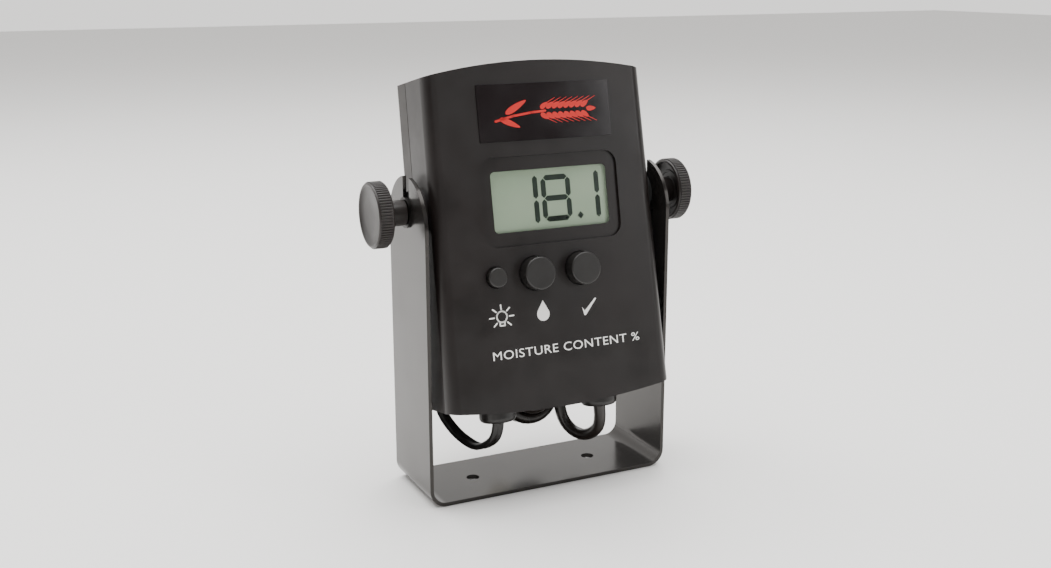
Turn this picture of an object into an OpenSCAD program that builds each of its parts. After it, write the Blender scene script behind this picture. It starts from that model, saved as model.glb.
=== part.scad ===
// Moisture tester display unit: a two-shell housing that tilts between the
// arms of a U bracket and is clamped by two thumb knobs.
// Millimetres, +Z up, front towards -Y, origin at the middle of the bracket's underside.

/* [Bracket] */
// Width over the two arms
bracket_w = 106.8; // [104:0.2:112]
// Width of the steel strap, front to back
strap_w = 38.2; // [34:0.2:42]
// Thickness of the strap
strap_t = 1.5; // [1.2:0.1:2]
// Outer radius of the two bends
bend_r = 7; // [5:0.5:10]
// Height of the round arm ends above the underside
arm_h = 129.5; // [126:0.5:134]
// Distance between the two screw holes
hole_pitch = 54; // [40:1:64]
// Diameter of the screw holes
hole_d = 5.3; // [4:0.1:6.4]
// Width of the open slot in each arm
slot_w = 6.4; // [5.6:0.1:7.5]

/* [Pivot] */
// Height of the tilt axis above the underside
axis_z = 115.5; // [114:0.5:120]
// How far the housing leans back
tilt = 11.5; // [0:0.5:25]
// Diameter of the clamp knobs
knob_d = 25.8; // [20:0.2:30]
// Thickness of the knob disc
knob_t = 6.2; // [4:0.1:9]
// Distance from the arm to the knob disc
knob_gap = 9; // [7:0.5:12]
// Diameter of the knob's hub
hub_d = 10; // [8:0.5:13]
// Diameter of the stud
stud_d = 4.9; // [4:0.1:5]

/* [Housing] */
// Half width of the housing at the tilt axis
half_w = 48; // [46:0.1:49]
// Lean of each side towards the top, in degrees
side_lean = 0.99; // [0:0.01:2]
// Corner height above the axis at the top
top_z = 49.8; // [45:0.1:55]
// Rise of the curved top edge
top_rise = 4.7; // [2:0.1:7]
// Corner depth below the axis at the bottom
bottom_z = 77.9; // [74:0.1:82]
// Drop of the curved bottom edge
bottom_drop = 3.75; // [2:0.05:6]
// Distance from the axis to the front face
front_y = 15.2; // [14:0.1:18]
// Distance from the axis to the rear face
rear_y = 17; // [16:0.1:20]
// Distance from the axis to the parting line
parting_y = 5; // [4.5:0.1:6]
// Wall thickness
wall = 2.5; // [2:0.1:3]
// Radius of the upright front corners
front_r = 5; // [3:0.5:7]
// Radius of the upright rear corners
rear_r = 4; // [2:0.5:6]

/* [Front panel] */
// Sideways place of the display and label
panel_x = 2; // [-3:0.1:3]
// Display window, width
window_w = 50.6; // [46:0.1:52]
// Display window, height
window_h = 23.7; // [20:0.1:25]
// Height of the window's middle above the axis
window_z = 0.5; // [-2:0.1:3]
// Sunk panel round the window, width
sunk_w = 59.7; // [56:0.1:62]
// Sunk panel round the window, height
sunk_h = 34.7; // [32:0.1:37]
// Depth of the sunk panel
sunk_t = 1; // [0.5:0.1:1.2]
// Label, width
label_w = 57.3; // [40:0.1:60]
// Label, height
label_h = 22; // [15:0.1:24]
// Height of the label's middle above the axis
label_z = 34.6; // [33:0.1:36]
// Height of the three buttons, below the axis
button_z = 28; // [26:0.5:30]

/* [Cords] */
// Diameter of the round sensor cord
coax_d = 5; // [4.5:0.1:5.2]
// Distance between the two cord bushings
gland_pitch = 46.5; // [44:0.5:48]
// Diameter of a bushing's head
gland_d = 15; // [14:0.2:17]

/* [Hidden] */
$fn = 64;

far = 200;                              // longer than anything in the housing
play = 0.05;                            // gap between pieces that touch
arm_x = bracket_w / 2;                  // outer face of an arm
arm_in = arm_x - strap_t;               // inner face of an arm
arm_c = arm_h - strap_w / 2;            // centre of the round arm end

// curved top and bottom edges, as circles about axes along Y
top_half = half_w - top_z * tan(side_lean);
bottom_half = half_w + bottom_z * tan(side_lean);
top_arc = (top_half * top_half + top_rise * top_rise) / (2 * top_rise);
bottom_arc = (bottom_half * bottom_half + bottom_drop * bottom_drop) / (2 * bottom_drop);
top_arc_z = top_z + top_rise - top_arc;
bottom_arc_z = bottom_arc - bottom_z - bottom_drop;

// levels inside the housing, all along Y with the front negative
skin_y = wall - front_y;                // inner side of the front wall
seal_t = 0.4;                           // gap between the shells
front_end = parting_y - seal_t / 2;     // rim of the front shell
rear_start = parting_y + seal_t / 2;    // rim of the rear shell
rear_skin = rear_y - wall;              // inner side of the rear wall
pocket_y = -front_y + sunk_t + 0.6;     // back of the thin rim round the window
gasket_t = 0.2;
lens_y = pocket_y + gasket_t + 2 * play;
lens_t = 0.5;
glass_y = lens_y + lens_t + play;
glass_t = 2.2;
board_y = -5;                           // front side of the circuit board
board_t = 1.6;
board_back = board_y + board_t;
light_y = glass_y + glass_t + play;     // back of the display glass
lens_w = 57;
lens_h = 30;

// pad that each arm clamps, insert and washers
pad_r = 9;
pad_x = half_w + 1;
insert_r = 3.2;
insert_len = 8;
boss_r = 6;
flat_r = 6;
flat_t = 0.9;
hub_x = arm_x + flat_t + 2 * play;      // inner end of the knob's hub
disc_x = arm_x + knob_gap;              // inner side of the knob's disc
knob_end = disc_x + knob_t;
stud_in = pad_x - 7;                    // inner end of the stud
stud_out = knob_end - 3;                // end buried in the knob

// fixings
post_r = 3.2;
case_screw_xz = [[-41.5, 43.5], [41.5, 43.5], [-43, -71.5], [43, -71.5]];
board_screw_xz = [[-35, 40], [35, 40], [-35, -60], [35, -60]];
pilot_r = 1.25;

// buttons: place across, radius, height above the face
buttons = [[-25, 3.9, 2.5], [-8.3, 6.45, 5.5], [11.7, 6.45, 5.5]];
button_gap = 0.4;
flange_t = 1;
flange_y = skin_y + 3 * play;
plunger_r = 1.7;
plunger_y = board_y - 4.8;              // front end of a switch plunger
plunger_len = 3;
switch_h = 3.5;

// cord bushings sit on the parting line
gland_x = [2.25 - gland_pitch / 2, 2.25 + gland_pitch / 2];
gland_top = bottom_z + bottom_drop;     // lowest line of the housing's wall
gland_h = 5.4;
neck_r = 5.9;
cord_r = coax_d / 2;
cord_out = -gland_top - gland_h;        // level where a cord leaves its bushing

// bundles of cord behind the rear shell
hank_y = 21.5;                          // side next to the rear shell
hank_r = 14;                            // radius of the round ends
power_hank_x = -24;
power_hank_t = 10.4;
power_hank_z = [-74, 24];
sensor_hank_x = 5;
sensor_hank_t = 15.4;
sensor_hank_z = [-95.2, -10];
tie_z = -42;
tie_w = 4.8;
tie_t = 1.2;
tie_mount_x = -9.5;

// cord routes in the housing's own frame, from bushing to bundle and from bundle to plug
power_route = [[-21, 5, -72], [-21, 5, -80], [-21, 5, -86.5], [-21.3, 6.3, -91.5],
    [-22.6, 9.3, -95.5], [-26, 15.5, -98], [-30, 20.5, -95], [-33.5, 24, -90],
    [-36.5, 26, -83.5], [-37.6, 26, -77], [-36.8, 25.2, -70.6]];
sensor_route = [[25.5, 5, -72], [25.5, 5, -80], [25.5, 5, -87], [26, 6, -92],
    [26.3, 9, -97], [25, 13, -100], [22.8, 17, -101], [20, 21, -99], [17.6, 24.1, -93.6]];
power_tail = [[-11.5, 33.7, -15], [-12, 34.4, -20], [-13.5, 34.5, -30], [-15, 34.6, -42],
    [-15, 34.9, -49.9]];
sensor_tail = [[-4.5, 39.1, -28], [-4, 39.9, -34], [-3, 40.4, -42], [-2, 42.2, -48],
    [-1.5, 44.3, -53], [-1.5, 44.6, -56.9]];

// ---- helpers ----

// puts children in the leaning housing's frame
module leaning() {
    translate([0, 0, axis_z]) rotate([-tilt, 0, 0]) children();
}

// cylinder along Y from y0 to y1
module rod_y(r, y0, y1) {
    translate([0, y0, 0]) rotate([-90, 0, 0]) cylinder(r = r, h = y1 - y0);
}

// cylinder along X from x0 to x1
module rod_x(r, x0, x1) {
    translate([x0, 0, 0]) rotate([0, 90, 0]) cylinder(r = r, h = x1 - x0);
}

// box given by its middle across, its middle height and its two Y levels
module slab(w, h, y0, y1) {
    translate([-w / 2, y0, -h / 2]) cube([w, y1 - y0, h]);
}

// flat rectangle with round corners
module round_rect(w, h, r) {
    square([w - 2 * r, h], center = true);
    square([w, h - 2 * r], center = true);
    for (x = [-1, 1], y = [-1, 1])
        translate([x * (w / 2 - r), y * (h / 2 - r)]) circle(r);
}

// round-cornered slab between two Y levels
module round_slab(w, h, r, y0, y1) {
    translate([0, y1, 0]) rotate([90, 0, 0]) linear_extrude(y1 - y0) round_rect(w, h, r);
}

// plan of one side of the housing: everything left of x, with a round front corner
module side_plan(x, y0, y1, r) {
    translate([-far, y0]) square([far + x - r, y1 - y0]);
    translate([-far, y0 + r]) square([far + x, y1 - y0 - r]);
    if (r > 0) translate([x - r, y0 + r]) circle(r);
}

module side_block(inset, y0, y1, r) {
    rotate([0, -side_lean, 0]) translate([0, 0, -far]) linear_extrude(2 * far)
        side_plan(half_w - inset, y0, y1, r);
}

// the housing's outer form moved in by inset, between two Y levels
module form(inset, y0, y1, r = 0) {
    intersection() {
        side_block(inset, y0, y1, r);
        mirror([1, 0, 0]) side_block(inset, y0, y1, r);
        translate([0, 0, top_arc_z]) rod_y(top_arc - inset, y0, y1, $fn = 360);
        translate([0, 0, bottom_arc_z]) rod_y(bottom_arc - inset, y0, y1, $fn = 360);
    }
}

// the same with the round corners at the back
module rear_form(inset, y0, y1, r) {
    rotate([0, 0, 180]) form(inset, -y1, -y0, r);
}

module for_side(s) {
    if (s > 0) children();
    else mirror([1, 0, 0]) children();
}

// ring of points for a swept cord
function unit(v) = v / norm(v);
function bend(p, i, t) =
    let (a = p[max(i - 1, 0)], b = p[i], c = p[i + 1], d = p[min(i + 2, len(p) - 1)])
    0.5 * (2 * b + (c - a) * t + (2 * a - 5 * b + 4 * c - d) * t * t
        + (3 * b - a - 3 * c + d) * t * t * t);
function smooth(p, n) = concat(
    [for (i = [0 : len(p) - 2], k = [0 : n - 1]) bend(p, i, k / n)], [p[len(p) - 1]]);

// round cord of radius r through the points p, with the given number of sides
module cord(p, r, sides) {
    last = len(p) - 1;
    rings = [for (i = [0 : last])
        let (t = unit(p[min(i + 1, last)] - p[max(i - 1, 0)]),
            u = unit(cross(t, [1, 0, 0])), w = cross(t, u))
        for (j = [0 : sides - 1])
            p[i] + r * (cos(360 * j / sides) * u + sin(360 * j / sides) * w)];
    walls = [for (i = [0 : last - 1], j = [0 : sides - 1])
        let (k = (j + 1) % sides)
        [i * sides + j, (i + 1) * sides + j, (i + 1) * sides + k, i * sides + k]];
    start = [for (j = [0 : sides - 1]) j];
    end = [for (j = [sides - 1 : -1 : 0]) last * sides + j];
    polyhedron(points = rings, faces = concat([start], walls, [end]), convexity = 6);
}

// ---- bracket ----

module strap_profile() {
    difference() {
        union() {
            translate([-arm_x, bend_r]) square([2 * arm_x, arm_h]);
            translate([-arm_x + bend_r, 0]) square([2 * (arm_x - bend_r), arm_h]);
            for (s = [-1, 1]) translate([s * (arm_x - bend_r), bend_r]) circle(bend_r);
        }
        union() {
            translate([-arm_in, bend_r]) square([2 * arm_in, arm_h + 10]);
            translate([-arm_x + bend_r, strap_t]) square([2 * (arm_x - bend_r), arm_h]);
            for (s = [-1, 1]) translate([s * (arm_x - bend_r), bend_r]) circle(bend_r - strap_t);
        }
    }
}

module arm_outline() {
    translate([-strap_w / 2, -1]) square([strap_w, arm_c + 1]);
    translate([0, arm_c]) circle(strap_w / 2);
}

module bracket() color("#2a2826") difference() {
    intersection() {
        translate([0, strap_w / 2 + 1, 0]) rotate([90, 0, 0])
            linear_extrude(strap_w + 2) strap_profile();
        translate([-arm_x - 1, 0, 0]) rotate([90, 0, 90])
            linear_extrude(2 * arm_x + 2) arm_outline();
    }
    slot_c = axis_z - stud_d / 2 - 2 * play + slot_w / 2;
    translate([0, 0, slot_c]) rod_x(slot_w / 2, -arm_x - 1, arm_x + 1);
    translate([-arm_x - 1, -slot_w / 2, slot_c]) cube([2 * arm_x + 2, slot_w, 30]);
    for (s = [-1, 1]) translate([s * hole_pitch / 2, 0, -1])
        cylinder(d = hole_d, h = strap_t + 2);
}

// ---- shells ----

// pad on both sides of the housing, for the arms to clamp on
module pads() {
    rod_x(pad_r, -pad_x, -half_w + 1.5);
    rod_x(pad_r, half_w - 1.5, pad_x);
}

module gland_holes(r) {
    for (x = gland_x) translate([x, parting_y, -gland_top - 3]) cylinder(r = r, h = 8);
}

module front_shell() color("#242120") leaning() difference() {
    union() {
        difference() {
            form(0, -front_y, front_end, front_r);
            form(wall, skin_y, front_end + 1, front_r - wall);
        }
        intersection() {
            pads();
            translate([-far, -far, -far]) cube([2 * far, far + front_end, 2 * far]);
        }
        intersection() {
            union() {
                rod_x(boss_r, -half_w + 1, -pad_x + insert_len + 1.5);
                rod_x(boss_r, pad_x - insert_len - 1.5, half_w - 1);
            }
            translate([-far, -far, -far]) cube([2 * far, far + front_end, 2 * far]);
        }
        intersection() {
            for (p = case_screw_xz) translate([p[0], 0, p[1]]) rod_y(post_r, skin_y - 1, front_end);
            form(1, -front_y + 1, front_end, front_r - 1);
        }
        for (p = board_screw_xz) translate([p[0], 0, p[1]]) rod_y(2.6, skin_y - 1, board_y);
    }
    translate([panel_x, 0, window_z]) round_slab(sunk_w, sunk_h, 5.5, -front_y - 1, -front_y + sunk_t);
    translate([panel_x, 0, window_z]) round_slab(window_w, window_h, 1.8, -front_y, skin_y + 1);
    translate([panel_x, 0, window_z]) round_slab(lens_w + 0.4, lens_h + 0.4, 2.2, pocket_y, skin_y + 1);
    for (b = buttons) translate([b[0], 0, -button_z])
        rod_y(b[1] + button_gap, -front_y - 1, skin_y + 1);
    for (p = case_screw_xz) translate([p[0], 0, p[1]]) rod_y(pilot_r, front_end - 10, front_end + 1);
    for (p = board_screw_xz) translate([p[0], 0, p[1]]) rod_y(1.1, board_y - 6, board_y + 1);
    rod_x(insert_r, -pad_x - 1, -pad_x + insert_len + 0.5);
    rod_x(insert_r, pad_x - insert_len - 0.5, pad_x + 1);
    gland_holes(neck_r + play);
}

module rear_shell() color("#2c2927") leaning() difference() {
    union() {
        difference() {
            rear_form(0, rear_start - 2, rear_y, rear_r);
            rear_form(wall, rear_start - 3, rear_skin, rear_r - wall);
        }
        pads();
        for (p = case_screw_xz) translate([p[0], 0, p[1]])
            rod_y(post_r + 0.8, rear_start - 1, rear_skin + 1);
    }
    translate([-far, rear_start - far, -far]) cube([2 * far, far, 2 * far]);
    for (p = case_screw_xz) translate([p[0], 0, p[1]]) {
        rod_y(1.6, rear_start - 1, rear_y + 1);
        rod_y(2.9, rear_y - 3, rear_y + 1);
    }
    gland_holes(neck_r + play);
}

module case_seal() color("#151515") leaning() difference() {
    form(0.6, front_end, rear_start);
    form(2.2, front_end - 1, rear_start + 1);
    gland_holes(neck_r + play);
}

module label_plate() color("#1d1a1b") leaning()
    translate([panel_x, 0, label_z]) slab(label_w, label_h, -front_y - 0.4, -front_y);

// ---- display ----

module lens_gasket() color("#101010") leaning() translate([panel_x, 0, window_z]) difference() {
    round_slab(lens_w, lens_h, 2, pocket_y + play, pocket_y + play + gasket_t);
    round_slab(window_w + 1.5, window_h + 1.5, 2, pocket_y - 1, lens_y + 1);
}

// flat window with a raised middle that fills the opening
module display_lens() color("#dfe6e2", 0.4) leaning() translate([panel_x, 0, window_z]) {
    round_slab(lens_w, lens_h, 2, lens_y, lens_y + lens_t);
    round_slab(window_w - 0.2, window_h - 0.2, 1.7, -front_y + sunk_t + play, lens_y + lens_t);
}

module lcd_glass() color("#a9b4a2") leaning() translate([panel_x, 0, window_z])
    slab(lens_w - 2, lens_h - 1, glass_y, glass_y + glass_t);

module lcd_frame() color("#1a1a1a") leaning() translate([panel_x, 0, window_z]) difference() {
    slab(lens_w + 3, lens_h + 4, skin_y + play, board_y - play);
    slab(lens_w - 1.8, lens_h - 0.8, glass_y - 1, board_y + 1);
}

module zebra_strips() color("#d8a7b4") leaning() for (s = [-1, 1])
    translate([panel_x, 0, window_z + s * 12.2]) slab(50, 3, light_y, board_y - play);

module backlight_panel() color("#f2f2ea") leaning() translate([panel_x, 0, window_z])
    slab(50, 20, light_y, board_y - 0.6);

// ---- electronics ----

module circuit_board() color("#1f5b34") leaning() difference() {
    translate([0, 0, -11]) slab(76, 110, board_y, board_back);
    for (p = board_screw_xz) translate([p[0], 0, p[1]]) rod_y(1.7, board_y - 1, board_back + 1);
}

module board_parts() color("#202020") leaning() {
    translate([6, 0, 4]) slab(14, 14, board_back + play, board_back + 2.4);
    translate([-16, 0, 8]) slab(10, 5, board_back + play, board_back + 1.8);
    translate([-20, 0, -38]) slab(10, 8, board_back + play, board_back + 4.5);
    translate([20, 0, -20]) rod_y(4, board_back + play, board_back + 11);
    translate([8, 0, -40]) rod_y(3.2, board_back + play, board_back + 8);
}

module tact_switches() color("#303030") leaning() for (b = buttons)
    translate([b[0], 0, -button_z]) difference() {
        slab(6, 6, board_y - switch_h, board_y - play);
        rod_y(plunger_r + play, board_y - switch_h - 1, board_y - 0.6);
    }

module plunger(b) color("#7a2020") leaning() translate([b[0], 0, -button_z])
    rod_y(plunger_r, plunger_y, plunger_y + plunger_len);

module light_plunger() plunger(buttons[0]);
module moisture_plunger() plunger(buttons[1]);
module check_plunger() plunger(buttons[2]);

// button cap with a round front edge, a flange behind the wall and a stem
module button_cap(b) color("#1b1a1a") leaning() translate([b[0], 0, -button_z])
    rotate([90, 0, 0]) rotate_extrude() {
        edge = 0.7;
        top = front_y + b[2];
        translate([0, -flange_y]) square([b[1], top + flange_y - edge]);
        translate([0, -flange_y]) square([b[1] - edge, top + flange_y]);
        translate([b[1] - edge, top - edge]) circle(edge);
        translate([0, -flange_y - flange_t]) square([b[1] + 1.6, flange_t]);
        translate([0, -plunger_y + play]) square([2.2, -flange_y + plunger_y]);
    }

module light_button() button_cap(buttons[0]);
module moisture_button() button_cap(buttons[1]);
module check_button() button_cap(buttons[2]);

// self-tapping screw along Y from y0 up to its head at y1
module screw(r, head_r, y0, y1, head_t) {
    difference() {
        union() {
            rod_y(r, y0, y1);
            rod_y(head_r, y1, y1 + head_t);
        }
        translate([0, y1 + head_t - 0.5, 0]) for (a = [0, 90]) rotate([0, a, 0])
            slab(head_r * 1.2, 0.8, 0, 1);
    }
}

module board_screws() color("silver") leaning() for (p = board_screw_xz)
    translate([p[0], 0, p[1]]) screw(1.05, 2.5, board_y - 5, board_back + play, 1.6);

module case_screws() color("silver") leaning() for (p = case_screw_xz)
    translate([p[0], 0, p[1]]) screw(1.2, 2.7, front_end - 9, rear_y - 3 + play, 2.2);

module terminal(x) leaning() translate([x, 0, -61]) difference() {
    slab(10, 10, board_back + play, board_back + 11);
    for (s = [-1, 1]) translate([s * 2.5, 0, 0]) rod_y(1.6, board_back + 8, board_back + 12);
}

module power_terminal() color("#2f6b3d") terminal(gland_x[0]);
module sensor_terminal() color("#2f6b3d") terminal(gland_x[1]);

// ---- pivot hardware ----

module insert(s) color("#b8923f") leaning() for_side(s) difference() {
    rod_x(insert_r - play, pad_x - insert_len, pad_x - play);
    rod_x(stud_d / 2 + play, pad_x - insert_len - 1, pad_x + 1);
}

module friction_washer(s) color("#181818") translate([0, 0, axis_z]) for_side(s) difference() {
    rod_x(8, pad_x + play, arm_in - play);
    rod_x(stud_d / 2 + 3 * play, pad_x - 1, arm_in + 1);
}

module flat_washer(s) color("silver") leaning() for_side(s) difference() {
    rod_x(flat_r, arm_x + play, arm_x + play + flat_t);
    rod_x(stud_d / 2 + 3 * play, arm_x - 1, arm_x + flat_t + 1);
}

// knob: hollow disc with a dished outer face and a hub
module knob(s) color("#1e1c1b") leaning() for_side(s) rotate([0, 90, 0]) difference() {
    rotate_extrude() {
        difference() {
            translate([0, disc_x]) square([knob_d / 2, knob_t]);
            translate([0, disc_x - 1]) square([knob_d / 2 - 1.8, 4]);
            translate([0, knob_end + 45 - 1.6]) circle(r = 45, $fn = 200);
            translate([knob_d / 2, knob_end]) rotate(45) square(1, center = true);
        }
        translate([0, hub_x]) square([hub_d / 2, knob_end - 2.5 - hub_x]);
    }
    translate([0, 0, hub_x - 1]) cylinder(d = stud_d + 2 * play, h = stud_out - hub_x + 1 + play);
}

module stud(s) color("silver") leaning() for_side(s) rod_x(stud_d / 2, stud_in, stud_out);

module left_insert() insert(-1);
module right_insert() insert(1);
module left_friction_washer() friction_washer(-1);
module right_friction_washer() friction_washer(1);
module left_flat_washer() flat_washer(-1);
module right_flat_washer() flat_washer(1);
module left_knob() knob(-1);
module right_knob() knob(1);
module left_stud() stud(-1);
module right_stud() stud(1);

// ---- cords ----

// bushing: head below the wall, neck through it, flange inside
module gland(x) color("#161616") leaning() translate([x, parting_y, 0]) rotate_extrude() difference() {
    union() {
        translate([0, cord_out]) square([gland_d / 2 - 2, gland_h - 0.2]);
        translate([0, cord_out + 2]) square([gland_d / 2, gland_h - 2.2]);
        translate([gland_d / 2 - 2, cord_out + 2]) circle(2);
        translate([0, -gland_top - 1]) square([neck_r, 6.8]);
        translate([0, -gland_top + 4.4]) square([neck_r + 1.6, 1.4]);
    }
    translate([-1, cord_out - 1]) square([cord_r + play + 1, gland_h + 12]);
}

module power_gland() gland(gland_x[0]);
module sensor_gland() gland(gland_x[1]);

module power_cord() color("#1a1817") leaning() {
    cord(smooth(power_route, 2), 2, 8);
    cord(smooth(power_tail, 2), 2, 8);
}

module sensor_cord() color("#1a1817") leaning() {
    cord(smooth(sensor_route, 2), cord_r, 10);
    cord(smooth(sensor_tail, 2), cord_r, 10);
}

// closed outline of a folded bundle, round at both ends
module hank(x, z, t) leaning() translate([x, hank_y + t, 0]) rotate([90, 0, 0]) linear_extrude(t) {
    translate([-hank_r, z[0] + hank_r]) square([2 * hank_r, z[1] - z[0] - 2 * hank_r]);
    for (end = [z[0] + hank_r, z[1] - hank_r]) translate([0, end]) circle(hank_r);
}

module power_hank() color("#1d1b1a") hank(power_hank_x, power_hank_z, power_hank_t);
module sensor_hank() color("#1d1b1a") hank(sensor_hank_x, sensor_hank_z, sensor_hank_t);

// flat two-way plug on the power cord
module power_plug() color("#161616") leaning() translate([-15, 35.2, -50]) {
    translate([0, 0, -9]) slab(11, 18, -3, 3);
    translate([0, 0, -20]) slab(9.4, 6, -2.4, 2.4);
}

// twist-lock plug on the sensor cord
module sensor_plug() color("silver") leaning() translate([-1.5, 44.6, -57]) mirror([0, 0, 1]) {
    cylinder(r = 4, h = 8);
    translate([0, 0, 8]) cylinder(r = 7.2, h = 14);
    translate([0, 0, 22]) cylinder(r = 4.8, h = 7);
}

module tie_mount() color("#202020") leaning() translate([tie_mount_x, 0, tie_z]) difference() {
    slab(19, 19, rear_y + play, hank_y - 0.2);
    slab(30, tie_w + 0.4, rear_y + 1.7, rear_y + 3.3);
}

module tie_corners(r) hull()
    for (p = [[-37.3, 21.3], [18.2, 21.3], [18.2, 38.4], [-2.5, 43], [-37.3, 33.6]])
        translate(p) circle(r, $fn = 32);

module cable_tie() color("#101010") leaning() {
    translate([0, 0, tie_z - tie_w / 2]) linear_extrude(tie_w) difference() {
        tie_corners(1.3 + tie_t);
        tie_corners(1.3);
    }
    translate([10, 43.2, tie_z]) slab(7, 8, -1.2, 4);
}

bracket();
front_shell();
rear_shell();
case_seal();
label_plate();
lens_gasket();
display_lens();
lcd_glass();
lcd_frame();
zebra_strips();
backlight_panel();
circuit_board();
board_parts();
tact_switches();
light_plunger();
moisture_plunger();
check_plunger();
light_button();
moisture_button();
check_button();
board_screws();
case_screws();
left_insert();
right_insert();
left_friction_washer();
right_friction_washer();
left_flat_washer();
right_flat_washer();
left_knob();
right_knob();
left_stud();
right_stud();
power_terminal();
sensor_terminal();
power_gland();
sensor_gland();
power_cord();
sensor_cord();
power_hank();
sensor_hank();
power_plug();
sensor_plug();
tie_mount();
cable_tie();
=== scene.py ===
"""Look of the moisture tester display unit: materials, knurled knobs, cords, face graphics."""
import math

import bmesh
import bpy
from mathutils import Matrix, Vector

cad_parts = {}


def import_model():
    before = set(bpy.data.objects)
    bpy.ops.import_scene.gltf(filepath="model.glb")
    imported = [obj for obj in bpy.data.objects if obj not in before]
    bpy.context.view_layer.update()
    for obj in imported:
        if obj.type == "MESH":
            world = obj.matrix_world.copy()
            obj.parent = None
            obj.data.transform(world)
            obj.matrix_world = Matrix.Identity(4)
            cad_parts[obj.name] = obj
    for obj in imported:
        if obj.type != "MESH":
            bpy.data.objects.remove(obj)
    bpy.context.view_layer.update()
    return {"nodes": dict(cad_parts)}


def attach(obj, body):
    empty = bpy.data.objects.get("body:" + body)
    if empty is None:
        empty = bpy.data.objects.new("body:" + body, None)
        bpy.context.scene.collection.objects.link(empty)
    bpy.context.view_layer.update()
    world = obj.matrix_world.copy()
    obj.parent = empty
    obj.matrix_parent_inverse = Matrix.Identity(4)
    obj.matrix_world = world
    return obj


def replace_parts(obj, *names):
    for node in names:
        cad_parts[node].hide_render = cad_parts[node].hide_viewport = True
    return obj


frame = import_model()
NODES = frame["nodes"]
MM = 0.001

# The housing leans back about the pivot axis. Its own frame has x to the right, y back, z up the face.
AXIS_Z = 115.5
TILT = math.radians(11.5)
LEAN = Matrix.Translation((0, 0, AXIS_Z * MM)) @ Matrix.Rotation(-TILT, 4, "X")
FACE_Y = -15.2


def world(p):
    """A point of the housing's own frame, in millimetres, as a row-frame point in metres."""
    return LEAN @ (Vector(p) * MM)


scene = bpy.context.scene


def put(name, data):
    """A new object at the origin, in the scene."""
    obj = bpy.data.objects.new(name, data)
    scene.collection.objects.link(obj)
    return obj


def add(tree, kind, inputs=None, links=None, **settings):
    """Add one node to a tree: its settings, its input values and the outputs that feed it."""
    node = tree.nodes.new(kind)
    for key, value in settings.items():
        setattr(node, key, value)
    for key, value in (inputs or {}).items():
        node.inputs[key].default_value = value
    for key, source in (links or {}).items():
        tree.links.new(source, node.inputs[key])
    return node.outputs


# ---------------------------------------------------------------- camera and light
cam = bpy.data.cameras.new("camera")
cam.lens = 43.48
cam.sensor_width = 36
cam.clip_start = 0.01
cam_obj = put("camera", cam)
cam_obj.location = (-0.2220, -0.4513, 0.2082)
cam_obj.rotation_euler = (math.radians(75.82), math.radians(0.11), math.radians(-25.96))
scene.camera = cam_obj

# the studio is white behind and above the object and dark where the camera stands
studio = bpy.data.worlds.new("studio")
scene.world = studio
studio.use_nodes = True
sky = studio.node_tree
backdrop = sky.nodes["Background"]
backdrop.inputs["Color"].default_value = (1.0, 0.985, 0.965, 1)
direction = add(sky, "ShaderNodeSeparateXYZ", links={"Vector": add(sky, "ShaderNodeTexCoord")["Generated"]})
fade = add(sky, "ShaderNodeMapRange", {"From Min": -0.75, "From Max": 0.45, "To Min": 0.05, "To Max": 1.35},
           {"Value": direction["Y"]}, interpolation_type="SMOOTHSTEP")
sky.links.new(fade["Result"], backdrop.inputs["Strength"])


def area_light(name, location, target, size, power):
    light = bpy.data.lights.new(name, "AREA")
    light.shape = "RECTANGLE"
    light.size, light.size_y = size
    light.energy = power
    obj = put(name, light)
    obj.location = location
    obj.rotation_euler = (Vector(target) - Vector(location)).to_track_quat("-Z", "Y").to_euler()


area_light("back_left", (-0.85, 0.75, 0.55), (0, 0, 0.1), (0.7, 0.9), 2)
area_light("right_side", (0.62, -0.72, 0.40), (0.04, 0, 0.12), (0.30, 0.5), 1.5)
area_light("front_fill", (-0.10, -1.20, 0.75), (0, 0, 0.1), (1.2, 0.8), 2)
area_light("overhead", (0.0, 0.15, 1.3), (0, 0, 0.1), (1.8, 1.8), 42)


# ---------------------------------------------------------------- materials
def colour(hex_code):
    """An sRGB hex colour as linear RGBA."""
    parts = [int(hex_code[i:i + 2], 16) / 255 for i in (1, 3, 5)]
    return tuple(c / 12.92 if c <= 0.04045 else ((c + 0.055) / 1.055) ** 2.4 for c in parts) + (1.0,)


def begin(name, base, rough, **direct):
    """A material, its tree, its Principled shader with sockets set directly, and object coordinates."""
    mat = bpy.data.materials.new(name)
    mat.use_nodes = True
    tree = mat.node_tree
    shader = tree.nodes["Principled BSDF"]
    shader.inputs["Base Color"].default_value = colour(base)
    shader.inputs["Roughness"].default_value = rough
    for key, value in direct.items():
        shader.inputs[key.replace("_", " ")].default_value = value
    return mat, tree, shader, add(tree, "ShaderNodeTexCoord")["Object"]


def patches(tree, coords, size_mm, detail, low, high, least, most):
    """Soft patches about size_mm across, as a value that runs from least to most."""
    cloud = add(tree, "ShaderNodeTexNoise",
                {"Scale": 1 / (size_mm * MM), "Detail": detail}, {"Vector": coords})
    limits = {"From Min": low, "From Max": high, "To Min": least, "To Max": most}
    return add(tree, "ShaderNodeMapRange", limits, {"Value": cloud["Fac"]})["Result"]


def grain(tree, coords, shader, size_mm, detail, depth_mm, strength, harshness=0.5):
    """Fine relief on the surface, about size_mm across and depth_mm deep."""
    cloud = add(tree, "ShaderNodeTexNoise",
                {"Scale": 1 / (size_mm * MM), "Detail": detail, "Roughness": harshness}, {"Vector": coords})
    relief = add(tree, "ShaderNodeBump",
                 {"Strength": strength, "Distance": depth_mm * MM}, {"Height": cloud["Fac"]})
    tree.links.new(relief["Normal"], shader.inputs["Normal"])


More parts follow.
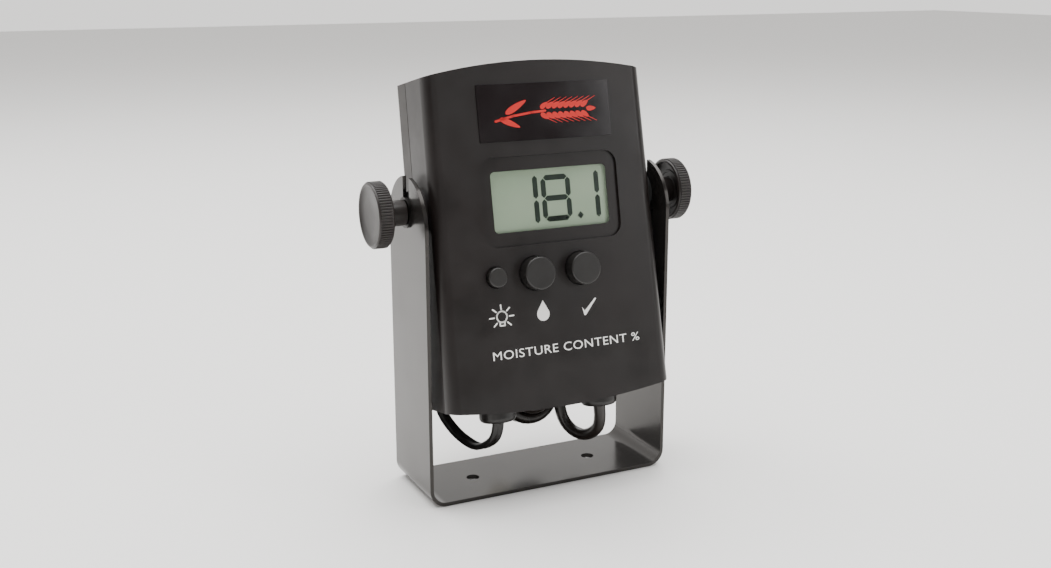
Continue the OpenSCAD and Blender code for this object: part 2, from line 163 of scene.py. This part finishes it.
def moulded(name, dark, light, rough_low, rough_high, grain_mm=0.5, depth_mm=0.02, specular=0.5):
    """Moulded plastic or rubber: fine spark-eroded grain, broad patches of wear in the sheen.

    Real grain is about 0.1 mm; grain_mm is coarser, so that it shows.
    """
    mat, tree, shader, coords = begin(name, dark, rough_low, Specular_IOR_Level=specular)
    share = patches(tree, coords, 1 / 0.03, 3.0, 0.35, 0.65, 0.0, 1.0)
    tone = add(tree, "ShaderNodeMix", {"A": colour(dark), "B": colour(light)}, {"Factor": share},
               data_type="RGBA")
    tree.links.new(tone["Result"], shader.inputs["Base Color"])
    sheen = patches(tree, coords, 12.5, 4.0, 0.3, 0.7, rough_low, rough_high)
    tree.links.new(sheen, shader.inputs["Roughness"])
    grain(tree, coords, shader, grain_mm, 2.0, depth_mm, 0.5)
    return mat


def metal(name, base, rough_low, rough_high, streak_mm=0.3):
    """Plated or turned metal: slight streaks and a little variation in sheen."""
    mat, tree, shader, coords = begin(name, base, rough_low, Metallic=1.0)
    sheen = patches(tree, coords, 2.5, 3.0, 0.3, 0.7, rough_low, rough_high)
    tree.links.new(sheen, shader.inputs["Roughness"])
    grain(tree, coords, shader, streak_mm, 3.0, 0.006, 0.4)
    return mat


def painted_steel():
    """Half-gloss black enamel sprayed on strap steel: 1 mm orange peel, dust specks, a soft warm sheen."""
    mat, tree, shader, coords = begin("bracket_enamel", "#1c1a19", 0.3, Coat_Weight=0.10, Coat_Roughness=0.16,
                                      Specular_IOR_Level=0.45, Specular_Tint=(1.0, 0.94, 0.89, 1))
    dust = patches(tree, coords, 0.625, 2.0, 0.70, 0.76, 0.0, 0.5)
    tone = add(tree, "ShaderNodeMix", {"A": colour("#1c1a19"), "B": colour("#6b655f")}, {"Factor": dust},
               data_type="RGBA")
    tree.links.new(tone["Result"], shader.inputs["Base Color"])
    sheen = patches(tree, coords, 20, 4.0, 0.3, 0.7, 0.17, 0.27)
    tree.links.new(sheen, shader.inputs["Roughness"])
    grain(tree, coords, shader, 1 / 0.9, 2.0, 0.012, 0.5, 0.4)
    return mat


def clear_plastic():
    """Polished clear acrylic: lets the display through and reflects more towards its edges."""
    mat, tree, _, _ = begin("clear_window", "#f4f7f5", 0.05)
    clear = add(tree, "ShaderNodeBsdfTransparent", {"Color": (0.97, 0.99, 0.98, 1)})
    gloss = add(tree, "ShaderNodeBsdfGlossy", {"Roughness": 0.08})
    facing = add(tree, "ShaderNodeLayerWeight", {"Blend": 0.25})
    limits = {"From Min": 0.0, "From Max": 1.0, "To Min": 0.03, "To Max": 0.5}
    share = add(tree, "ShaderNodeMapRange", limits, {"Value": facing["Fresnel"]})
    mix = add(tree, "ShaderNodeMixShader", links={"Fac": share["Result"], 1: clear["BSDF"], 2: gloss["BSDF"]})
    tree.links.new(mix["Shader"], tree.nodes["Material Output"].inputs["Surface"])
    return mat


def lcd_face():
    """Reflective LCD glass: grey-green polariser with a faint grain, a little lighter in places."""
    mat, tree, shader, coords = begin("lcd_reflector", "#adbaa4", 0.32)
    share = patches(tree, coords, 50, 2.0, 0.35, 0.65, 0.0, 1.0)
    tone = add(tree, "ShaderNodeMix", {"A": colour("#a5b59b"), "B": colour("#b7c3ad")}, {"Factor": share},
               data_type="RGBA")
    tree.links.new(tone["Result"], shader.inputs["Base Color"])
    grain(tree, coords, shader, 0.25, 2.0, 0.004, 0.3)
    return mat


def printed(name, base, rough):
    """Screen-printed ink: thin, slightly uneven, matt beside the plastic that it lies on."""
    mat, tree, shader, coords = begin(name, base, rough)
    sheen = patches(tree, coords, 1 / 1.2, 2.0, 0.3, 0.7, rough - 0.06, rough + 0.08)
    tree.links.new(sheen, shader.inputs["Roughness"])
    grain(tree, coords, shader, 1 / 3, 2.0, 0.006, 0.4)
    return mat


ENAMEL = painted_steel()
# moulded ABS front half: near-black, with an even low sheen along the curve
SHELL = moulded("housing_abs", "#171312", "#1d1817", 0.28, 0.40, 0.55, 0.025, 0.44)
# the same ABS, rear half: a copy a shade lighter and browner, painted light standing in for its brightly lit
# long sides
SHELL_BACK_PAINTED_LIT = moulded("rear_shell_abs", "#262220", "#2e2927", 0.30, 0.44, 0.55, 0.025, 0.28)
# moulded phenolic: dark half-gloss that picks out each rib
KNOB = moulded("knob_phenolic", "#1d1918", "#292422", 0.30, 0.42, 0.8, 0.02, 0.38)
# moulded silicone rubber keys: soft, nearly matt
BUTTON = moulded("button_rubber", "#191716", "#211f1d", 0.34, 0.46, 0.4, 0.02)
# cut sheet rubber: matt black, shows as a thin line where parts meet
SEAL = moulded("seal_rubber", "#161616", "#1e1d1d", 0.6, 0.75, 0.4, 0.02)
# moulded nylon: black, waxy sheen
GLAND = moulded("bushing_nylon", "#1a1817", "#24211f", 0.30, 0.42, 0.7, 0.02)
# extruded soft PVC over twin cores: smooth, long highlights down each core
PVC_TWIN = moulded("cord_pvc", "#171514", "#221f1d", 0.28, 0.38, 0.9, 0.02)
# extruded PVC coax jacket: as smooth, slightly browner
PVC_COAX = moulded("coax_jacket", "#1c1816", "#28221e", 0.26, 0.36, 0.9, 0.02)
# moulded nylon tie: plain black, half-matt
NYLON = moulded("tie_nylon", "#141414", "#1c1c1c", 0.35, 0.45, 0.6, 0.01)
# green solder mask on glass-fibre board: smooth and a little glossy
BOARD = moulded("solder_mask", "#1d5a33", "#236a3d", 0.25, 0.35, 0.5, 0.02)
# moulded epoxy of chips and frames: charcoal, matt
CHIP = moulded("chip_epoxy", "#1c1c1e", "#26262a", 0.45, 0.6, 0.3, 0.02)
# moulded acetal plungers: dark red, half-matt
PLUNGER = moulded("switch_plunger", "#7a2020", "#8a2a26", 0.35, 0.45)
# moulded nylon terminal blocks: the usual green
TERMINAL = moulded("terminal_nylon", "#2f6b3d", "#387a47", 0.35, 0.45)
# layered conductive silicone: dull pink strip
CARBON = moulded("contact_silicone", "#c9929c", "#d6a2ab", 0.5, 0.6)
# moulded opal acrylic light guide: milky white
DIFFUSER = moulded("light_diffuser", "#e9e9e0", "#f4f4ec", 0.3, 0.4)
# zinc-plated steel screws and studs: pale, slightly hazy
ZINC = metal("zinc_plate", "#b9b7b0", 0.22, 0.36)
# black-passivated zinc washers: dark, with a metal glint on the edge
BLACK_ZINC = metal("black_zinc", "#2a2827", 0.3, 0.42)
# bright nickel on a turned connector: mirror-like, fine turning marks
NICKEL = metal("nickel_plate", "#c6c2b8", 0.16, 0.28)
# turned brass inserts: yellow, bright
BRASS = metal("brass_insert", "#b8923f", 0.25, 0.38)
LENS = clear_plastic()
LCD = lcd_face()
INK_WHITE = printed("ink_white", "#fbfaf7", 0.5)
INK_RED = printed("ink_red", "#cf1f18", 0.42)
# dark state of the liquid crystal: greenish black, not quite opaque-looking
SEGMENT = printed("lcd_segment", "#1d2a20", 0.35)
# gloss polycarbonate label film: smooth black that mirrors more than the case
LABEL = moulded("label_polycarbonate", "#1a1617", "#211c1d", 0.10, 0.18, 1.2, 0.008)

CAD_LOOKS = {
    ENAMEL: ["bracket"],
    SHELL: ["front_shell"],
    SHELL_BACK_PAINTED_LIT: ["rear_shell"],
    SEAL: ["case_seal", "lens_gasket", "left_friction_washer", "right_friction_washer"],
    LABEL: ["label_plate"],
    LENS: ["display_lens"],
    LCD: ["lcd_glass"],
    CHIP: ["lcd_frame", "board_parts", "tact_switches"],
    CARBON: ["zebra_strips"],
    DIFFUSER: ["backlight_panel"],
    BOARD: ["circuit_board"],
    PLUNGER: ["light_plunger", "moisture_plunger", "check_plunger"],
    BLACK_ZINC: ["left_flat_washer", "right_flat_washer"],
    BUTTON: ["light_button", "moisture_button", "check_button"],
    ZINC: ["board_screws", "case_screws", "left_stud", "right_stud"],
    BRASS: ["left_insert", "right_insert"],
    TERMINAL: ["power_terminal", "sensor_terminal"],
    GLAND: ["power_gland", "sensor_gland", "power_plug"],
    NICKEL: ["sensor_plug"],
    NYLON: ["tie_mount", "cable_tie"],
}
for look, names in CAD_LOOKS.items():
    for name in names:
        slots = NODES[name].material_slots
        if not slots:
            NODES[name].data.materials.append(look)
        for each in slots:
            each.material = look


# ---------------------------------------------------------------- making pieces
def baked(obj):
    """The object's evaluated shape as a plain mesh."""
    bpy.context.view_layer.update()
    return bpy.data.meshes.new_from_object(obj.evaluated_get(bpy.context.evaluated_depsgraph_get()))


def piece(name, verts, faces, look, body, smooth_angle=35):
    """A mesh with one material that rides on a body; edges sharper than smooth_angle stay crisp."""
    mesh = bpy.data.meshes.new(name)
    mesh.from_pydata([tuple(v) for v in verts], [], faces)
    bm = bmesh.new()
    bm.from_mesh(mesh)
    bmesh.ops.remove_doubles(bm, verts=bm.verts, dist=1e-7)
    bmesh.ops.recalc_face_normals(bm, faces=bm.faces)
    bm.to_mesh(mesh)
    bm.free()
    mesh.materials.append(look)
    obj = put(name, mesh)
    for poly in mesh.polygons:
        poly.use_smooth = True
    mesh.set_sharp_from_angle(angle=math.radians(smooth_angle))
    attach(obj, body)
    return obj


def spline(points, per_span):
    """Catmull-Rom line through the points."""
    out = []
    last = len(points) - 1
    for i in range(last):
        a, b = points[max(i - 1, 0)], points[i]
        c, d = points[i + 1], points[min(i + 2, last)]
        for k in range(per_span):
            t = k / per_span
            out.append(0.5 * (2 * b + (c - a) * t + (2 * a - 5 * b + 4 * c - d) * t * t
                              + (3 * b - a - 3 * c + d) * t ** 3))
    return out + [points[-1]]


def even(points, step):
    """The same line with evenly spaced points."""
    lengths = [0.0]
    for a, b in zip(points, points[1:]):
        lengths.append(lengths[-1] + (b - a).length)
    count = max(2, round(lengths[-1] / step))
    out, i = [], 0
    for k in range(count + 1):
        want = lengths[-1] * k / count
        while i < len(points) - 2 and lengths[i + 1] < want:
            i += 1
        span = lengths[i + 1] - lengths[i]
        out.append(points[i].lerp(points[i + 1], (want - lengths[i]) / span if span else 0))
    return out


def sweep(path, section, wide_at):
    """Vertices and faces of a section swept along a path. wide_at gives the section's wide direction."""
    verts, faces = [], []
    n = len(section)
    last = len(path) - 1
    for i, p in enumerate(path):
        t = (path[min(i + 1, last)] - path[max(i - 1, 0)]).normalized()
        wide = wide_at(i / last)
        u = (wide - t * wide.dot(t)).normalized()
        w = t.cross(u)
        verts += [p + u * a + w * b for a, b in section]
    for i in range(last):
        for j in range(n):
            k = (j + 1) % n
            faces.append((i * n + j, i * n + k, (i + 1) * n + k, (i + 1) * n + j))
    faces.append(tuple(reversed(range(n))))
    faces.append(tuple(last * n + j for j in range(n)))
    return verts, faces


# ---------------------------------------------------------------- cords
def turns(centre_x, z_low, z_high, layers, clockwise, start_z, tail_z):
    """A cord folded into an oblong bundle: one turn for each (fold radius, depth) in layers.

    It starts going up one side at start_z and ends going down the other at tail_z.
    """
    side = -1 if clockwise else 1
    points = []

    def at(u, layer, following):
        """u runs 0..1 up the side, over, down the other side and round the bottom."""
        rho, y = layer
        straight = z_high - z_low
        perimeter = 2 * straight + 2 * math.pi * rho
        s = u * perimeter
        shift = min(1, max(0, (u - 0.62) / 0.3))
        shift = shift * shift * (3 - 2 * shift)
        rho = rho + (following[0] - rho) * shift
        y = y + (following[1] - y) * shift
        if s < straight:
            x, z = side * rho, z_low + s
        elif s < straight + math.pi * layer[0]:
            a = (s - straight) / layer[0]
            x, z = side * rho * math.cos(a), z_high + rho * math.sin(a)
        elif s < 2 * straight + math.pi * layer[0]:
            x, z = -side * rho, z_high - (s - straight - math.pi * layer[0])
        else:
            a = (s - 2 * straight - math.pi * layer[0]) / layer[0]
            x, z = -side * rho * math.cos(a), z_low - rho * math.sin(a)
        return Vector((centre_x + x, y, z))

    count = 96
    for n, layer in enumerate(layers):
        following = layers[min(n + 1, len(layers) - 1)]
        straight = z_high - z_low
        perimeter = 2 * straight + 2 * math.pi * layer[0]
        first = (start_z - z_low) / perimeter if n == 0 else 0.0
        final = 1.0
        if n == len(layers) - 1:
            final = (2 * straight + math.pi * layer[0] - (tail_z - z_low)) / perimeter
            following = layer
        steps = max(8, round(count * (final - first)))
        for k in range(steps):
            points.append(at(first + (final - first) * k / steps, layer, following))
    return points


def cord_path(route, bundle, tail):
    """The cord's centreline: smooth through the listed points, then even steps of 2.2 mm."""
    line = [Vector(p) for p in route] + bundle + [Vector(p) for p in tail]
    smooth = even(spline(line, 4), 1.0)
    return [world(p) for p in even(smooth, 2.2)]


power_route = [(-21, 5, -87.05), (-21.3, 6.3, -91.5), (-22.6, 9.3, -95.5), (-26, 15.5, -98), (-30, 20.5, -95),
               (-33.5, 24, -90), (-36.5, 26, -83.5), (-37.6, 26, -77),
                (-36.9, 25.2, -70.6), (-36.6, 24.5, -65)]
power_tail = [(-11.5, 31.0, -17), (-12.3, 33.5, -22), (-13.5, 34.5, -30), (-15, 34.6, -42), (-15, 34.9, -50),
              (-15, 35.0, -54)]
sensor_route = [(25.5, 5, -87.05), (26, 6, -92), (26.3, 9, -97), (25, 13, -100), (22.8, 17, -101),
                (20, 21, -99), (17.8, 23.6, -94.6), (16.6, 24.1, -88.5)]
sensor_tail = [(-6, 36.2, -29), (-5.2, 38.6, -33), (-3.2, 40.4, -42), (-2, 42.2, -48), (-1.5, 44.3, -53),
               (-1.5, 44.6, -57), (-1.5, 44.6, -60)]
power_layers = [(12.6, 24.2), (9.8, 24.2), (9.8, 29.3), (12.6, 29.3)]
sensor_layers = [(11.4, 24.1), (6.3, 24.1), (6.3, 29.2), (11.4, 29.2), (11.4, 34.3)]

power_path = cord_path(power_route, turns(-24, -60, 10, power_layers, True, -56, -12), power_tail)
sensor_path = cord_path(sensor_route, turns(5, -81.2, -24, sensor_layers, False, -80, -25), sensor_tail)

# flat twin cord: two round cores side by side with a groove between them
CORE_R, CORE_OUT = 1.3, 1.2
COAX_R, COAX_SIDES = 2.5, 16
twin_section = []
for side, first in ((1, -126), (-1, 54)):
    for k in range(11):
        a = math.radians(first + 25.2 * k)
        twin_section.append(((side * CORE_OUT + CORE_R * math.cos(a)) * MM, CORE_R * math.sin(a) * MM))
round_section = []
for k in range(COAX_SIDES):
    a = 2 * math.pi * k / COAX_SIDES
    round_section.append((COAX_R * MM * math.cos(a), COAX_R * MM * math.sin(a)))

ACROSS = LEAN.to_3x3() @ Vector((1, 0, 0))
DEPTH = LEAN.to_3x3() @ Vector((0, 1, 0))


def twin_wide(share):
    """The flat cord leaves its bushing broadside on and turns edge on before it is folded."""
    t = min(1, max(0, (share - 0.01) / 0.10))
    t = t * t * (3 - 2 * t)
    return (ACROSS * (1 - t) + DEPTH * t).normalized()


verts, faces = sweep(power_path, twin_section, twin_wide)
power_cord = piece("power_cord_twin", verts, faces, PVC_TWIN, "housing", 60)
verts, faces = sweep(sensor_path, round_section, lambda share: DEPTH)
sensor_cord = piece("sensor_cord_coax", verts, faces, PVC_COAX, "housing", 60)
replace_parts(power_cord, "power_cord", "power_hank")
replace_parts(sensor_cord, "sensor_cord", "sensor_hank")


# ---------------------------------------------------------------- moulded edges
def softened(name, node, look, body, width_mm, least_angle=50):
    """The same part with its sharp edges rounded as a mould or press leaves them."""
    bm = bmesh.new()
    bm.from_mesh(NODES[node].data)
    bmesh.ops.remove_doubles(bm, verts=bm.verts, dist=2e-6)
    bmesh.ops.dissolve_limit(bm, angle_limit=math.radians(0.5), verts=bm.verts, edges=bm.edges)
    mesh = bpy.data.meshes.new(name)
    for face in bm.faces:
        face.smooth = True
    bm.to_mesh(mesh)
    bm.free()
    obj = put(name, mesh)
    bevel = obj.modifiers.new("edge", "BEVEL")
    bevel.width = width_mm * MM
    bevel.segments = 2
    bevel.limit_method = "ANGLE"
    bevel.angle_limit = math.radians(least_angle)
    bevel.use_clamp_overlap = True
    weighted = obj.modifiers.new("flat faces stay flat", "WEIGHTED_NORMAL")
    weighted.mode = "FACE_AREA"
    weighted.weight = 100
    weighted.keep_sharp = True
    rounded = baked(obj)
    obj.modifiers.clear()
    obj.data = rounded
    rounded.materials.clear()
    rounded.materials.append(look)
    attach(obj, body)
    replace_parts(obj, node)


softened("housing_front", "front_shell", SHELL, "housing", 0.45)
softened("housing_rear", "rear_shell", SHELL_BACK_PAINTED_LIT, "housing", 0.45)
softened("bracket_strap", "bracket", ENAMEL, "bracket", 0.25)


# ---------------------------------------------------------------- knurled knobs
def knurl_tree():
    """Straight knurl: one rounded rib repeated round a rim, sizes in millimetres."""
    tree = bpy.data.node_groups.new("straight_knurl", "GeometryNodeTree")
    for label, kind in (("Geometry", "Geometry"), ("Ribs", "Int"), ("Rim radius", "Float"),
                        ("Rib radius", "Float"), ("Rib length", "Float"), ("Plastic", "Material")):
        tree.interface.new_socket(label, in_out="INPUT", socket_type="NodeSocket" + kind)
    tree.interface.new_socket("Geometry", in_out="OUTPUT", socket_type="NodeSocketGeometry")

    size = add(tree, "NodeGroupInput")
    rim = add(tree, "GeometryNodeMeshCircle", links={"Vertices": size["Ribs"], "Radius": size["Rim radius"]})
    rib = add(tree, "GeometryNodeMeshCylinder", {"Vertices": 10},
              {"Radius": size["Rib radius"], "Depth": size["Rib length"]})
    ribs = add(tree, "GeometryNodeInstanceOnPoints", links={"Points": rim["Mesh"], "Instance": rib["Mesh"]})
    whole = add(tree, "GeometryNodeRealizeInstances", links={"Geometry": ribs["Instances"]})
    done = add(tree, "GeometryNodeSetMaterial",
               links={"Geometry": whole["Geometry"], "Material": size["Plastic"]})
    add(tree, "NodeGroupOutput", links={"Geometry": done["Geometry"]})
    return tree


KNURL = knurl_tree()
KNURL_MIDDLE = 65.5
KNURL_SIZES = {"Ribs": 72, "Rim radius": 12.4, "Rib radius": 0.5, "Rib length": 4.6, "Plastic": KNOB}


def knurl(name, side, body):
    """The ribs round one knob's rim, sunk a little into the disc."""
    obj = put(name, bpy.data.meshes.new(name + "_start"))
    ribs = obj.modifiers.new("ribs", "NODES")
    ribs.node_group = KNURL
    for item in KNURL.interface.items_tree:
        if item.in_out == "INPUT" and item.name in KNURL_SIZES:
            ribs[item.identifier] = KNURL_SIZES[item.name]
    mesh = baked(obj)
    obj.modifiers.clear()
    # turned, never mirrored, so that the faces still point outwards
    for v in mesh.vertices:
        v.co = world((side * (KNURL_MIDDLE + v.co.z), v.co.x, side * v.co.y))
    for face in mesh.polygons:
        face.use_smooth = True
    mesh.set_sharp_from_angle(angle=math.radians(50))
    mesh.name = name
    obj.data = mesh
    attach(obj, body)


def knob(name, side, body, node):
    """Knob of moulded plastic: hub, ringed inner recess, plain rim under the knurl, dished outer face."""
    steps = 144
    # (distance out, radius) from the hub's inner end round the disc to the middle of the outer face
    profile = [(54.4, 2.5), (54.4, 4.7), (54.7, 5.0), (64.6, 5.0), (65.0, 5.4), (65.0, 6.9), (64.7, 7.1),
               (64.7, 8.0), (65.0, 8.2), (65.0, 10.6), (64.6, 11.1), (62.8, 11.2), (62.4, 11.5),
               (62.4, 12.0), (62.6, 12.3), (63.1, 12.5), (67.9, 12.5), (68.3, 12.4), (68.5, 12.2),
               (68.58, 11.9), (68.5, 11.5), (68.2, 11.1), (67.9, 10.7), (67.45, 8.0), (67.15, 5.0),
               (67.02, 2.5), (67.0, 0.6)]
    verts, faces = [], []
    for x, r in profile:
        for k in range(steps):
            a = 2 * math.pi * k / steps
            verts.append(world((side * x, r * math.cos(a), r * math.sin(a))))
    for i in range(len(profile) - 1):
        for k in range(steps):
            m = (k + 1) % steps
            faces.append((i * steps + k, i * steps + m, (i + 1) * steps + m, (i + 1) * steps + k))
    faces.append(tuple(range(steps)))
    faces.append(tuple((len(profile) - 1) * steps + k for k in reversed(range(steps))))
    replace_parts(piece(name, verts, faces, KNOB, body, 40), node)


knob("knob_left", -1, "left_clamp", "left_knob")
knurl("knob_left_knurl", -1, "left_clamp")
knob("knob_right", 1, "right_clamp", "right_knob")
knurl("knob_right_knurl", 1, "right_clamp")


# ---------------------------------------------------------------- flat graphics
def prism(name, outlines, look, y_front, thickness):
    """Thin raised shapes on a plane of the housing: each outline is a closed (x, z) list."""
    verts, faces = [], []
    for outline in outlines:
        start, n = len(verts), len(outline)
        verts += [world((x, y_front, z)) for x, z in outline]
        verts += [world((x, y_front + thickness, z)) for x, z in outline]
        faces.append(tuple(start + k for k in range(n)))
        faces.append(tuple(start + n + k for k in reversed(range(n))))
        for k in range(n):
            m = (k + 1) % n
            faces.append((start + k, start + n + k, start + n + m, start + m))
    return piece(name, verts, faces, look, "housing", 30)


def stroke(points, width, taper=(1.0, 1.0)):
    """A line of round-ended strokes: one capsule for each part."""
    out = []
    total = len(points) - 1
    for i in range(total):
        a, b = Vector(points[i]), Vector(points[i + 1])
        d = (b - a).normalized()
        n = Vector((-d.y, d.x))
        ra = width / 2 * (taper[0] + (taper[1] - taper[0]) * i / total)
        rb = width / 2 * (taper[0] + (taper[1] - taper[0]) * (i + 1) / total)
        ring = []
        for k in range(9):
            t = math.pi / 2 - math.pi * k / 8
            ring.append(b + d * (rb * math.cos(t)) + n * (rb * math.sin(t)))
        for k in range(9):
            t = -math.pi / 2 - math.pi * k / 8
            ring.append(a + d * (ra * math.cos(t)) + n * (ra * math.sin(t)))
        out.append([(p.x, p.y) for p in ring])
    return out


def arc(cx, cz, r, start, end, n):
    """Points along an arc, angles in degrees."""
    angles = [math.radians(start + (end - start) * k / n) for k in range(n + 1)]
    return [(cx + r * math.cos(a), cz + r * math.sin(a)) for a in angles]


def leaf(cx, cz, along, across, lean):
    """Pointed oval lying at an angle."""
    out, c, t = [], math.cos(math.radians(lean)), math.sin(math.radians(lean))
    for j in range(20):
        a = 2 * math.pi * j / 20
        px, pz = along * math.cos(a), across * math.sin(a) * (1 - 0.35 * math.cos(a))
        out.append((cx + px * c - pz * t, cz + px * t + pz * c))
    return out


# thickness of a printed mark
INK = 0.05
ON_FACE = FACE_Y - INK

# lamp icon under the light button: open ring, base lines, rays
lamp = stroke(arc(-24.1, -43.3, 2.15, 0, 360, 28), 0.6)
lamp += stroke([(-25.1, -45.5), (-25.1, -46.75), (-23.1, -46.75), (-23.1, -45.5)], 0.55)
rays = [(-20.9, -43.35, -19.1, -43.3), (-27.4, -43.45, -29.3, -43.5), (-24.2, -40.4, -24.3, -38.7),
        (-21.9, -41.2, -20.65, -40.1), (-26.4, -41.3, -27.8, -40.15), (-26.4, -45.6, -27.7, -46.8),
        (-21.9, -45.6, -20.5, -46.8)]
for x0, z0, x1, z1 in rays:
    lamp += stroke([(x0, z0), (x1, z1)], 0.55)
prism("icon_lamp", lamp, INK_WHITE, ON_FACE, INK)

# drop icon: pointed top, round bottom
drop = [(-6.1, -38.9)]
for k in range(25):
    a = math.radians(28 - (236 * k / 24))
    drop.append((-6.35 + 2.7 * math.cos(a), -44.3 + 2.7 * math.sin(a)))
prism("icon_drop", [drop], INK_WHITE, ON_FACE, INK)

# check mark, as one outline
check = [(11.0, -43.6), (12.0, -45.2), (17.0, -40.5), (17.6, -40.8), (12.3, -47.0), (11.7, -46.9)]
prism("icon_check", [check], INK_WHITE, ON_FACE, INK)


def printed_line(words, x0, x1, z0, height, name):
    """Plain sans capitals across the face, made from the built-in font and turned into a mesh."""
    curve = bpy.data.curves.new(name + "_font", "FONT")
    curve.body = words
    curve.size = 1.0
    curve.extrude = 0.0
    curve.space_character = 1.08
    temp = put(name + "_temp", curve)
    mesh = baked(temp)
    bpy.data.objects.remove(temp)
    bpy.data.curves.remove(curve)
    xs = [v.co.x for v in mesh.vertices]
    ys = [v.co.y for v in mesh.vertices]
    kx, kz = (x1 - x0) / (max(xs) - min(xs)), height / (max(ys) - min(ys))
    bm = bmesh.new()
    bm.from_mesh(mesh)
    flat = list(bm.faces)
    for v in bm.verts:
        v.co = world((x0 + (v.co.x - min(xs)) * kx, ON_FACE, z0 + (v.co.y - min(ys)) * kz))
    back = (LEAN.to_3x3() @ Vector((0, INK * MM, 0)))
    grown = bmesh.ops.extrude_face_region(bm, geom=flat)
    for v in [g for g in grown["geom"] if isinstance(g, bmesh.types.BMVert)]:
        v.co += back
    bmesh.ops.recalc_face_normals(bm, faces=bm.faces)
    bm.to_mesh(mesh)
    bm.free()
    mesh.materials.clear()
    mesh.materials.append(INK_WHITE)
    obj = put(name, mesh)
    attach(obj, "housing")


printed_line("MOISTURE CONTENT %", -29.3, 35.8, -59.9, 3.35, "caption_line")

# label art: a red ear of grain on gloss black, on a label 0.4 mm thick
LABEL_Y = FACE_Y - 0.4 - INK
ear = stroke([(-19.5, 31.5), (-12.0, 33.2), (-4.0, 34.2), (2.0, 34.6)], 0.9)
for k in range(8):
    x = 0.5 + 2.55 * k
    for s in (-1, 1):
        ear.append(leaf(x + 1.2, 34.6 + s * 2.1, 2.0, 0.95, s * 33))
        ear += stroke([(x + 2.9, 34.6 + s * 3.3), (x + 6.2, 34.6 + s * 4.9)], 0.32, (1.0, 0.5))
ear.append(leaf(22.3, 34.6, 2.1, 0.95, 0))
ear.append(leaf(-10.5, 36.6, 5.2, 1.25, 28))
ear.append(leaf(-13.5, 30.6, 4.6, 1.1, -24))
prism("label_ear", ear, INK_RED, LABEL_Y, INK)


# ---------------------------------------------------------------- LCD digits
def segments(x0, z0, width, height, lit, t=2.15):
    """Seven-segment digit with pointed segments; lit names them a..g."""
    mid = z0 + height / 2
    top, right = z0 + height, x0 + width
    gap, h = 0.22, t / 2

    def across(z):
        return [(x0 + h + gap, z), (x0 + t + gap, z + h), (right - t - gap, z + h), (right - h - gap, z),
                (right - t - gap, z - h), (x0 + t + gap, z - h)]

    def upright(x, low, high):
        return [(x, low + gap), (x + h, low + h + gap), (x + h, high - h - gap), (x, high - gap),
                (x - h, high - h - gap), (x - h, low + h + gap)]

    shapes = {"a": across(top - h), "g": across(mid), "d": across(z0 + h),
              "f": upright(x0 + h, mid, top - h), "b": upright(right - h, mid, top - h),
              "e": upright(x0 + h, z0 + h, mid), "c": upright(right - h, z0 + h, mid)}
    return [shapes[k] for k in lit]


# front of the LCD, and the thickness that the digits stand off it
SEG_Y, SEG_T = -12.75, 0.05
digits = segments(-13.2, -10.2, 10.4, 21.3, "bc")
digits += segments(-1.4, -8.7, 13.0, 18.4, "abcdefg")
digits += [[(15.2, -5.7), (16.6, -7.2), (15.2, -8.7), (13.8, -7.2)]]
digits += segments(13.3, -10.0, 11.2, 21.4, "bc")
prism("lcd_digits", digits, SEGMENT, SEG_Y - SEG_T, SEG_T)


# ---------------------------------------------------------------- floor
HALF, BELOW = 4, -0.0002
corners = [(-HALF, -HALF, BELOW), (HALF, -HALF, BELOW), (HALF, HALF, BELOW), (-HALF, HALF, BELOW)]
floor_mesh = bpy.data.meshes.new("floor")
floor_mesh.from_pydata(corners, [], [(0, 1, 2, 3)])
floor = put("floor", floor_mesh)
# pale studio paper: matt, with a faint tooth
paper, paper_tree, paper_shader, paper_coords = begin("floor_paper", "#f6f5f3", 0.6)
grain(paper_tree, paper_coords, paper_shader, 2, 2.0, 0.01, 0.2)
floor_mesh.materials.append(paper)
